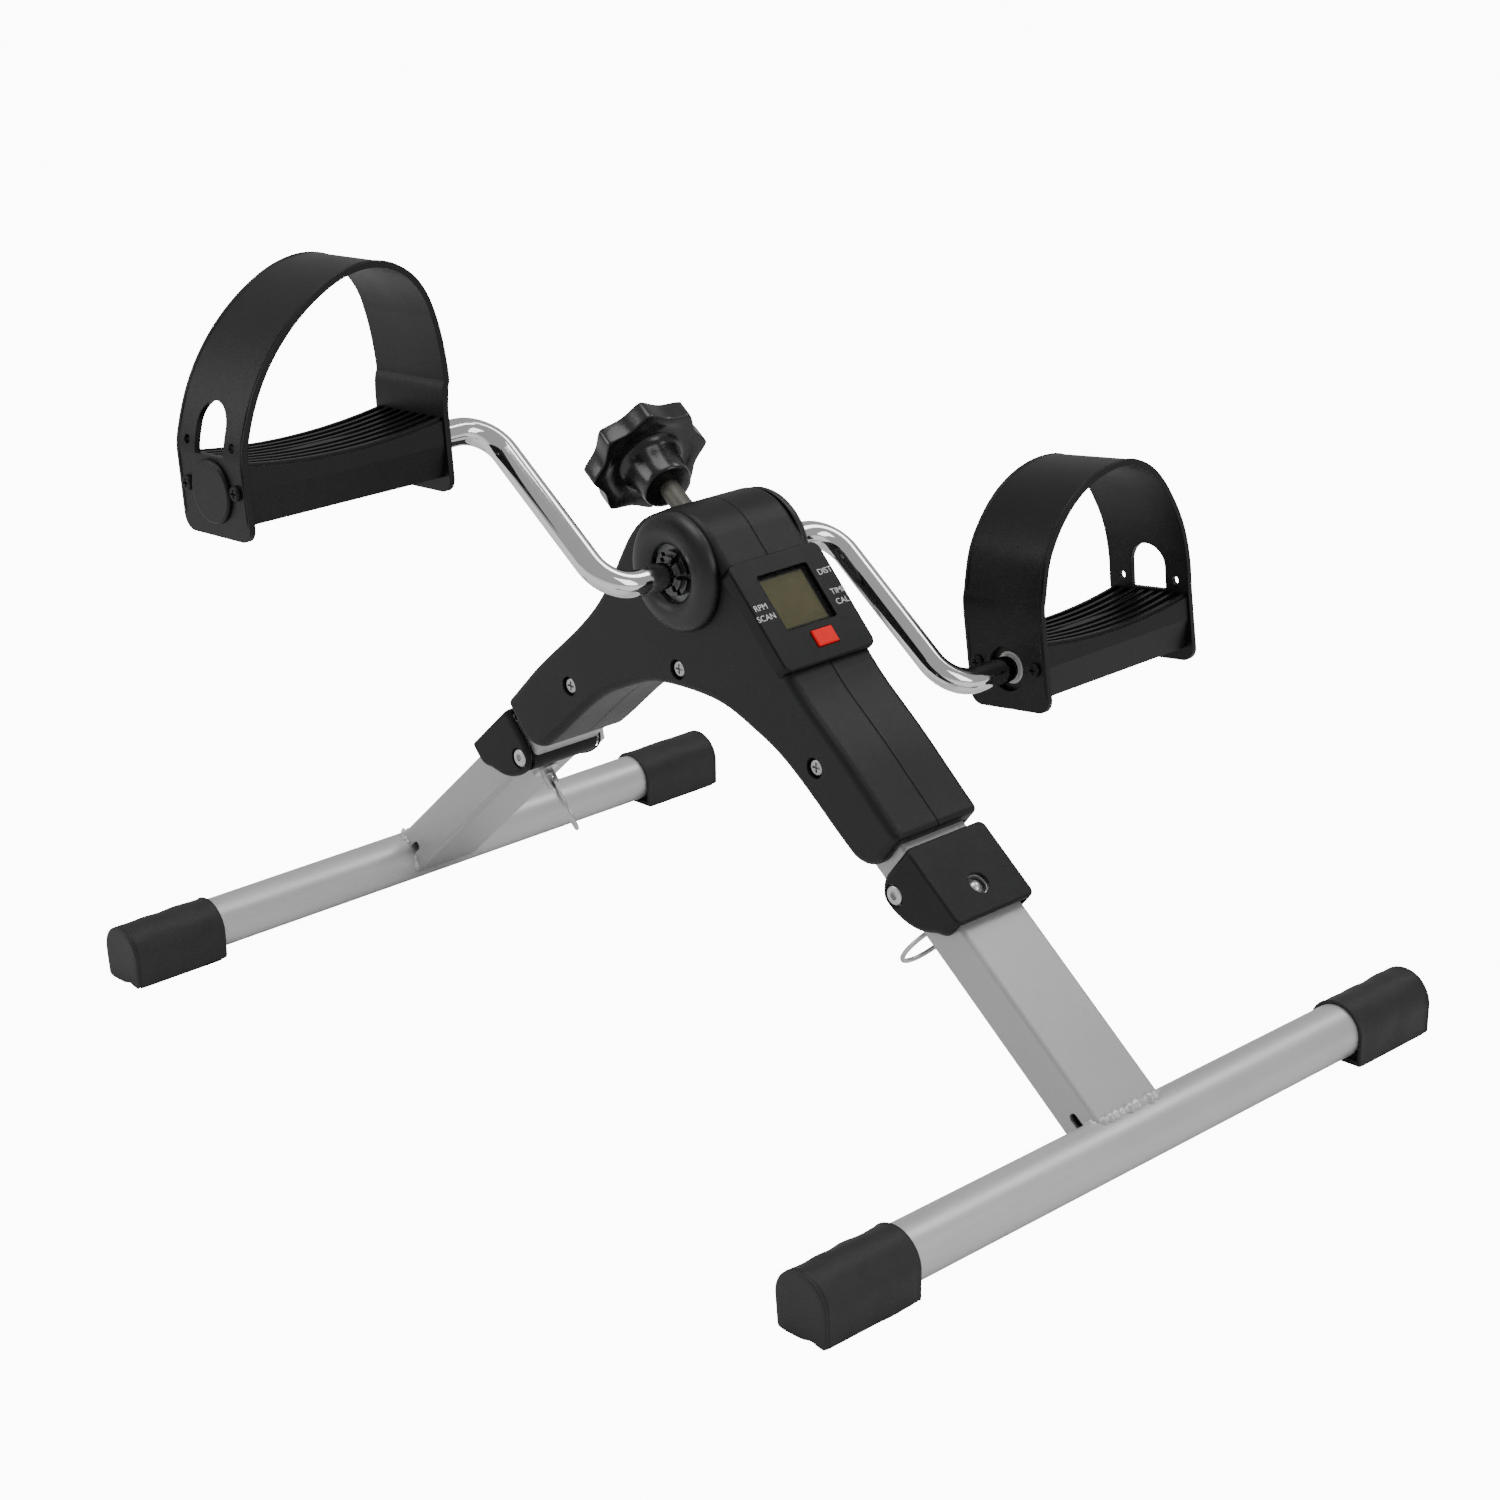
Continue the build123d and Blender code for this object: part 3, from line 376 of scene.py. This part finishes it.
dark_nut, tree, shader, where = start_finish("dark_nut", Metallic=1.0)
oiled = grain(tree, where, 420, 4.0)
plug(tree, shader,
     Base_Color=tint(tree, oiled, (0.035, 0.035, 0.036), (0.16, 0.16, 0.165)),
     Roughness=0.22 + 0.25 * oiled,
     Normal=soften(tree, oiled, 0.00006, 0.0004))
dress(dark_nut, "crank_nuts")

nylon, tree, shader, where = start_finish("nylon", IOR=1.53, Subsurface_Weight=0.15)
milk = grain(tree, where, 300, 3.0)
plug(tree, shader,
     Base_Color=tint(tree, milk, (0.62, 0.61, 0.57), (0.74, 0.73, 0.69)),
     Roughness=0.42 + 0.12 * milk,
     Normal=soften(tree, milk, 0.00003, 0.0004))
dress(nylon, "hub_bushings", "pedal_bushings_left", "pedal_bushings_right")

turned_iron, tree, shader, where = start_finish("turned_iron", Metallic=0.9)
rings_cut = grain(tree, where, 700, 2.0, 0.5, (0.2, 4.0, 0.2))
plug(tree, shader,
     Base_Color=tint(tree, rings_cut, (0.16, 0.16, 0.17), (0.30, 0.30, 0.31)),
     Roughness=0.34 + 0.2 * rings_cut,
     Normal=soften(tree, rings_cut, 0.00005, 0.0003))
dress(turned_iron, "crank_drum", "sensor_magnet")

felt, tree, shader, where = start_finish("brake_felt", Sheen_Weight=0.4)
fibres = grain(tree, where, 1800, 6.0, 0.7)
plug(tree, shader,
     Base_Color=tint(tree, fibres, (0.11, 0.10, 0.09), (0.28, 0.26, 0.23)),
     Roughness=0.85 + 0.1 * fibres,
     Normal=soften(tree, fibres, 0.0003, 0.0003))
dress(felt, "brake_felt")
dress(moulded_black, "brake_plunger")


# ---- Tension knob -----------------------------------------------------------------------
# A hand knob of glossy phenolic with eight lobes and a long flared boss, moulded on a
# steel stud. Turning it presses the brake plunger.

gloss_black, tree, shader, where = start_finish("gloss_black", IOR=1.5, Coat_Weight=0.15,
                                                Coat_Roughness=0.08)
smears = grain(tree, where, 60, 5.0, 0.6)
flow = grain(tree, where, 240, 2.0)
plug(tree, shader,
     Base_Color=tint(tree, smears, (0.0045, 0.0045, 0.005), (0.012, 0.011, 0.011)),
     Roughness=0.17 + 0.16 * smears,
     Normal=soften(tree, flow + smears, 0.00008, 0.0006))

HUB_HEIGHT = 0.2258
KNOB_LOBES, KNOB_POINTS, KNOB_PHASE = 8, 160, math.radians(27.2)
LOBE_BLUNTNESS = 0.60
KNOB_TILT, KNOB_LEAN = math.radians(27.8), math.radians(10.3)
knob_out = Vector((-math.cos(KNOB_TILT) * math.cos(KNOB_LEAN), math.sin(KNOB_LEAN),
                   math.sin(KNOB_TILT) * math.cos(KNOB_LEAN)))
knob_side = Vector((math.sin(KNOB_TILT), 0, math.cos(KNOB_TILT)))
knob_across = knob_out.cross(knob_side)


def knob_ring(radius, height, scallop):
    """One level of the knob: eight lobes with round hollows between them."""
    ring = []
    for k in range(KNOB_POINTS):
        a = 2 * math.pi * k / KNOB_POINTS
        hollow = (0.5 - 0.5 * math.cos(KNOB_LOBES * a)) ** LOBE_BLUNTNESS
        r = radius * (1 - scallop * hollow)
        turned = a + KNOB_PHASE
        ring.append(Vector((0, 0, HUB_HEIGHT)) + knob_out * height
                    + (knob_side * math.cos(turned) + knob_across * math.sin(turned)) * r)
    return ring


# Radius, height along the axis and depth of the hollows, from the boss to the top face.
levels = [(0.0046, 0.0524, 0), (0.0100, 0.0524, 0), (0.0113, 0.0526, 0), (0.0121, 0.0531, 0),
          (0.0125, 0.0540, 0), (0.0126, 0.0560, 0), (0.0129, 0.0600, 0), (0.0133, 0.0645, 0),
          (0.0138, 0.0675, 0), (0.0145, 0.0696, 0), (0.0154, 0.0710, 0), (0.0167, 0.0719, 0),
          (0.0184, 0.0723, 0), (0.0205, 0.0722, 0.01), (0.0225, 0.0718, 0.03),
          (0.0240, 0.0714, 0.05), (0.0268, 0.0714, 0.095), (0.0295, 0.0714, 0.125),
          (0.0300, 0.0715, 0.13), (0.0303, 0.0718, 0.133), (0.0304, 0.0725, 0.134),
          (0.0304, 0.0770, 0.134), (0.0304, 0.0814, 0.134), (0.0303, 0.0820, 0.133),
          (0.0300, 0.0823, 0.13), (0.0295, 0.0824, 0.125), (0.0262, 0.0824, 0.085),
          (0.0200, 0.0824, 0.01), (0.0110, 0.0824, 0), (0.0020, 0.0824, 0)]
knob = new_piece("brake_hand_knob", loft([knob_ring(*level) for level in levels], first_cap=False),
                 gloss_black, "knob")
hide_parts("tension_knob")

dull_steel, tree, shader, where = start_finish("dull_steel", IOR=2.0)
stain = grain(tree, where, 160, 5.0, 0.6)
plug(tree, shader,
     Base_Color=tint(tree, stain, (0.050, 0.047, 0.038), (0.115, 0.108, 0.088)),
     Metallic=0.55 + 0.2 * stain,
     Roughness=0.42 + 0.2 * stain,
     Normal=soften(tree, stain, 0.00005, 0.0004))
dress(dull_steel, "tension_stud")


# ---- Housing --------------------------------------------------------------------------
# Two moulded halves are screwed together round the arms, with a fine sparked grain. The
# parting line runs over the top; round trim rings close the hub on both sides.

housing_black, tree, shader, where = start_finish("housing_black", IOR=1.48,
                                                  Specular_IOR_Level=0.34)
sparked = grain(tree, where, 2600, 2.0)
flow_marks = grain(tree, where, 18, 4.0, 0.55)
dust = grain(tree, where, 900, 6.0, 0.75)
plug(tree, shader,
     Base_Color=tint(tree, 0.7 * flow_marks + 0.3 * dust, (0.003, 0.003, 0.0032),
                     (0.0075, 0.0075, 0.008)),
     Roughness=0.34 + 0.16 * flow_marks + 0.06 * sparked,
     Normal=soften(tree, sparked + 1.5 * flow_marks, 0.00005, 0.0009))
dress(housing_black, "housing_left", "housing_right")

TRIM_POINTS = 96

def lathe(profile, sign):
    """A profile of (radius, distance from the middle plane), turned round the hub axis."""
    turns = [2 * math.pi * k / TRIM_POINTS for k in range(TRIM_POINTS)]
    return [[Vector((r * math.cos(a), sign * y, HUB_HEIGHT + r * math.sin(a))) for a in turns]
            for r, y in profile]


# The trims get a lighter copy of the housing's black plastic: the raised colour is partly painted
# highlight, while the grain and handling marks are the plastic's own.
trim_black_with_painted_highlight, tree, shader, where = start_finish("trim_black_with_painted_highlight", IOR=1.5, Specular_IOR_Level=0.5)
fine_grain = grain(tree, where, 2200, 2.0)
handling = grain(tree, where, 40, 4.0, 0.55)
plug(tree, shader,
     Base_Color=tint(tree, handling, (0.006, 0.006, 0.0063), (0.014, 0.014, 0.0145)),
     Roughness=0.33 + 0.12 * handling,
     Normal=soften(tree, fine_grain + handling, 0.00005, 0.0007))

trim_profile = [(0.0137, 0.0290), (0.0136, 0.0302), (0.0138, 0.0309), (0.0146, 0.0318),
                (0.0160, 0.0327), (0.0178, 0.0333), (0.0198, 0.0336), (0.0216, 0.0335),
                (0.0234, 0.0331), (0.0250, 0.0324), (0.0263, 0.0314), (0.0273, 0.0303),
                (0.0280, 0.0290), (0.0283, 0.0276), (0.0283, 0.0263)]
for hand, sign in (("left", -1), ("right", 1)):
    shell = loft(lathe(trim_profile, sign), first_cap=False, last_cap=False)
    trim = new_piece(f"hub_trim_{hand}", shell, trim_black_with_painted_highlight, "frame")
    lining = trim.modifiers.new("thickness", "SOLIDIFY")
    lining.thickness = 0.0012
    lining.offset = -1.0
    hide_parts(f"hub_cover_{hand}")


# ---- Display --------------------------------------------------------------------------
# A low console with a liquid-crystal window, one red button and five small printed
# words beside the window.

console_black, tree, shader, where = start_finish("console_black", IOR=1.5,
                                                  Specular_IOR_Level=0.22)
satin = grain(tree, where, 1900, 2.0)
rub = grain(tree, where, 60, 4.0)
plug(tree, shader,
     Base_Color=tint(tree, rub, (0.003, 0.003, 0.0032), (0.007, 0.007, 0.0075)),
     Roughness=0.30 + 0.14 * rub,
     Normal=soften(tree, satin, 0.00003, 0.0006))
dress(console_black, "console_case")

DISPLAY_TILT = math.radians(47.5)
down_slope = Vector((math.cos(DISPLAY_TILT), 0, -math.sin(DISPLAY_TILT)))
off_slope = Vector((math.sin(DISPLAY_TILT), 0, math.cos(DISPLAY_TILT)))


def on_display(along, across, out):
    return down_slope * along + Vector((0, across, 0)) + off_slope * out


crystal, tree, shader, where = start_finish("liquid_crystal", IOR=1.4, Specular_IOR_Level=0.15)
along = add_node(tree, "ShaderNodeVectorMath", {"operation": "DOT_PRODUCT"},
                 {0: where, 1: down_slope}, output=1)
across = add_node(tree, "ShaderNodeVectorMath", {"operation": "DOT_PRODUCT"},
                  {0: where, 1: (0, 1, 0)}, output=1)
off_along, off_across = (along + 0.1264).size(), (across + 0.00065).size()
lit = (off_along < 0.0131) * (off_across < 0.01365)
rim = (off_along < 0.0124) * (off_across < 0.01295)
mottle = grain(tree, where, 120, 3.0)
film = tint(tree, mottle, (0.088, 0.084, 0.040), (0.125, 0.119, 0.060))
edge = add_node(tree, "ShaderNodeMix", {"data_type": "RGBA"},
                {0: rim, 6: (0.055, 0.056, 0.036, 1.0), 7: film}, output=2)
plug(tree, shader,
     Base_Color=add_node(tree, "ShaderNodeMix", {"data_type": "RGBA"},
                         {0: lit, 6: (0.006, 0.006, 0.006, 1.0), 7: edge}, output=2),
     Roughness=0.32 + 0.1 * mottle,
     Normal=soften(tree, mottle, 0.00003, 0.0002))
dress(crystal, "lcd_panel")

clear, tree, shader, where = start_finish("clear_window", IOR=1.3, Specular_IOR_Level=0.2,
                                          Base_Color=(0.02, 0.02, 0.02, 1.0))
finger_marks = grain(tree, where, 90, 5.0, 0.6)
plug(tree, shader, Roughness=0.05 + 0.12 * finger_marks, Alpha=0.06 + 0.03 * finger_marks)
dress(clear, "lcd_window")

board, tree, shader, where = start_finish("coated_board", IOR=1.5)
tracks = grain(tree, where, 500, 1.0)
plug(tree, shader, Base_Color=tint(tree, tracks > 0.55, (0.015, 0.09, 0.035), (0.03, 0.17, 0.07)),
     Roughness=0.3 + 0.1 * tracks, Normal=soften(tree, tracks > 0.55, 0.00005, 0.0002))
dress(board, "circuit_board")

red, tree, shader, where = start_finish("button_red", IOR=1.45, Specular_IOR_Level=0.2)
blush = grain(tree, where, 180, 3.0)
plug(tree, shader,
     Base_Color=tint(tree, blush, (0.78, 0.004, 0.004), (0.95, 0.010, 0.008)),
     Roughness=0.30 + 0.15 * blush,
     Normal=soften(tree, blush, 0.00005, 0.0006))
dress(red, "mode_button")

print_white, tree, shader, where = start_finish("print_white", IOR=1.45)
ink = grain(tree, where, 3000, 3.0)
plug(tree, shader, Base_Color=tint(tree, ink, (0.55, 0.55, 0.55), (0.78, 0.78, 0.78)),
     Roughness=0.5 + 0.2 * ink)
word_turn = Matrix((Vector((0, 1, 0)), -down_slope, off_slope)).transposed()
WORD_HEIGHT, WORD_OUT, INK_THICKNESS = 0.0042, 0.18453, 0.00003
WORDS = (("DIST", -0.1342, 0.0226), ("TIME", -0.1233, 0.0236), ("CAL", -0.1180, 0.0228),
         ("RPM", -0.1262, -0.0224), ("SCAN", -0.1208, -0.0224))
for word, along, across in WORDS:
    letters = bpy.data.curves.new(f"word_{word.lower()}", "FONT")
    letters.body = word
    letters.size = WORD_HEIGHT
    letters.extrude = INK_THICKNESS
    letters.align_x = "CENTER"
    letters.align_y = "CENTER"
    letters.materials.append(print_white)
    printed = bpy.data.objects.new(f"label_{word.lower()}", letters)
    bpy.context.scene.collection.objects.link(printed)
    place = Matrix.Translation(on_display(along, across, WORD_OUT))
    printed.matrix_world = place @ word_turn.to_4x4()
    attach(printed, "frame")


# ---- Pedals ---------------------------------------------------------------------------
# Hollow ribbed treads turn on the spindle ends. A wide strap of soft black plastic is
# screwed to both ends of each tread and arches over the shoe.

pedal_black, tree, shader, where = start_finish("pedal_black", IOR=1.48, Specular_IOR_Level=0.30)
moulding = grain(tree, where, 1700, 3.0)
streaks = grain(tree, where, 34, 4.0, 0.6)
plug(tree, shader,
     Base_Color=tint(tree, streaks, (0.003, 0.003, 0.0032), (0.008, 0.008, 0.0085)),
     Roughness=0.30 + 0.16 * streaks,
     Normal=soften(tree, moulding + 2.0 * streaks, 0.00008, 0.0006))

STRAP_ARCH = {
    "left": [(222.1, 14.0), (219.8, 26.0), (215.2, 38.0), (206.5, 53.0), (193.5, 67.5),
             (177.0, 79.5), (159.0, 87.0), (145.0, 88.0), (132.0, 84.0), (122.0, 75.0),
             (115.5, 60.0), (112.6, 44.0), (111.8, 30.0), (113.9, 12.0)],
    "right": [(222.1, 16.0), (222.6, 26.0), (222.2, 36.0), (219.6, 50.0), (213.2, 65.0),
              (203.5, 79.0), (190.0, 87.5), (174.0, 89.0), (157.0, 85.5), (141.0, 77.0),
              (128.5, 65.0), (120.5, 52.0), (115.6, 36.0), (113.9, 14.0)],
}
STRAP_OUT, STRAP_IN, STRAP_LOW = 0.2221, 0.1139, -0.012
STRAP_EDGE, RIM_HALF_WIDTH, RIM_HALF_RISE, RIM_SINK = 0.0238, 0.0008, 0.00055, 0.0002
SPINDLE = {"left": (-0.072464, 0.292668, -2.0), "right": (0.072464, 0.158932, -6.0)}


def smooth_path(points, steps):
    """A smooth path through points, with straight ends."""
    padded = [points[0] * 2 - points[1]] + points + [points[-1] * 2 - points[-2]]
    path = []
    for k in range(len(points) - 1):
        a, b, c, d = padded[k:k + 4]
        for i in range(steps):
            t = i / steps
            path.append(0.5 * (2 * b + (c - a) * t + (2 * a - 5 * b + 4 * c - d) * t * t
                               + (3 * b - a - 3 * c + d) * t ** 3))
    return path + [points[-1]]


def strap_spot(hand, fore, across, height):
    """A point on a pedal, from fore-and-aft, across and height over its spindle, in metres."""
    x, z, tilt = SPINDLE[hand]
    a = math.radians(tilt)
    sign = -1 if hand == "left" else 1
    return Vector((x + fore * math.cos(a) + height * math.sin(a), sign * across,
                   z - fore * math.sin(a) + height * math.cos(a)))


for hand in ("left", "right"):
    arch = [Vector((y, z)) / 1000 for y, z in STRAP_ARCH[hand]]
    legs = [Vector((STRAP_OUT, STRAP_LOW)), Vector((STRAP_OUT, 0.0)), *arch,
            Vector((STRAP_IN, 0.0)), Vector((STRAP_IN, STRAP_LOW))]
    line = smooth_path(legs, 8)
    for edge, fore in (("front", STRAP_EDGE), ("back", -STRAP_EDGE)):
        rings = []
        for k, spot in enumerate(line):
            ahead = (line[min(k + 1, len(line) - 1)] - line[max(k - 1, 0)]).normalized()
            outward = Vector((ahead.y, -ahead.x))
            ring = []
            for i in range(8):
                a = 2 * math.pi * i / 8
                rise = RIM_HALF_RISE * math.sin(a) - RIM_SINK
                ring.append(strap_spot(hand, fore + RIM_HALF_WIDTH * math.cos(a),
                                       spot.x + outward.x * rise, spot.y + outward.y * rise))
            rings.append(ring)
        new_piece(f"strap_rim_{hand}_{edge}", loft(rings), pedal_black, f"pedal_{hand}")
dress(pedal_black, "pedal_body_left", "pedal_body_right", "strap_left", "strap_right",
      "dust_cap_left", "dust_cap_right")
dress(moulded_black, "strap_screws_left", "strap_screws_right")


# ---- Floor, light and camera ------------------------------------------------------------
# A pale floor under soft studio light from overhead and both sides.

floor_mesh = bpy.data.meshes.new("floor")
floor_mesh.from_pydata([(-6, -6, 0), (6, -6, 0), (6, 6, 0), (-6, 6, 0)], [], [(0, 1, 2, 3)])
floor = bpy.data.objects.new("floor", floor_mesh)
bpy.context.scene.collection.objects.link(floor)
pale, tree, shader, where = start_finish("pale_floor", Specular_IOR_Level=0.1)
paper = grain(tree, where, 900, 3.0)
plug(tree, shader, Base_Color=tint(tree, paper, (0.86, 0.86, 0.86), (0.90, 0.90, 0.90)),
     Roughness=0.75 + 0.1 * paper)


def brighten_for_viewer(tree, shader_socket, end_node, glow, share):
    """Lets the backdrop read as white without flooding the object with light."""
    seen = add_node(tree, "ShaderNodeLightPath")
    white = add_node(tree, "ShaderNodeEmission", None, {"Color": (1, 1, 1, 1), "Strength": glow})
    both = add_node(tree, "ShaderNodeMixShader", None,
                    {0: seen * share, 1: Signal(shader_socket), 2: white})
    tree.links.new(both.socket, end_node.inputs["Surface"])


brighten_for_viewer(tree, shader.outputs[0], tree.nodes["Material Output"], 16.0, 0.72)
floor_mesh.materials.append(pale)

world = bpy.data.worlds.new("studio")
bpy.context.scene.world = world
world.use_nodes = True
world.node_tree.nodes["Background"].inputs[0].default_value = (1.0, 1.0, 1.0, 1.0)
world.node_tree.nodes["Background"].inputs[1].default_value = 0.42
brighten_for_viewer(world.node_tree, world.node_tree.nodes["Background"].outputs[0],
                    world.node_tree.nodes["World Output"], 16.0, 1.0)


def softbox(name, place, size, power):
    lamp = bpy.data.lights.new(name, "AREA")
    lamp.shape = "RECTANGLE"
    lamp.size, lamp.size_y = size
    lamp.energy = power
    box = bpy.data.objects.new(name, lamp)
    bpy.context.scene.collection.objects.link(box)
    box.location = place
    box.rotation_euler = (Vector((0, 0, 0.15)) - Vector(place)).to_track_quat("-Z", "Y").to_euler()
    return box


softbox("overhead", (0.0, -0.1, 1.9), (1.2, 1.2), 15)
softbox("left_box", (-1.2, -1.5, 1.1), (0.9, 1.2), 12)
softbox("back_box", (0.45, 1.55, 1.95), (0.9, 0.7), 9)
softbox("right_box", (1.9, 0.4, 0.9), (0.8, 1.2), 9)

turn, rise, lean = 0.8430297, 0.3485276, -0.0424938
aim = Vector((-0.016751, 0.027694, 0.12))
back = Vector((math.sin(turn) * math.cos(rise), -math.cos(turn) * math.cos(rise), math.sin(rise)))
right = (-back).cross(Vector((0, 0, 1))).normalized()
up = right.cross(-back)
leaned_right = right * math.cos(lean) + up * math.sin(lean)
leaned_up = up * math.cos(lean) - right * math.sin(lean)
lens = bpy.data.cameras.new("studio_camera")
lens.sensor_width = 36.0
lens.lens = 72.9
camera = bpy.data.objects.new("studio_camera", lens)
bpy.context.scene.collection.objects.link(camera)
facing = Matrix((leaned_right, leaned_up, back)).transposed().to_4x4()
camera.matrix_world = Matrix.Translation(aim + back * 1.468781) @ facing
bpy.context.scene.camera = camera
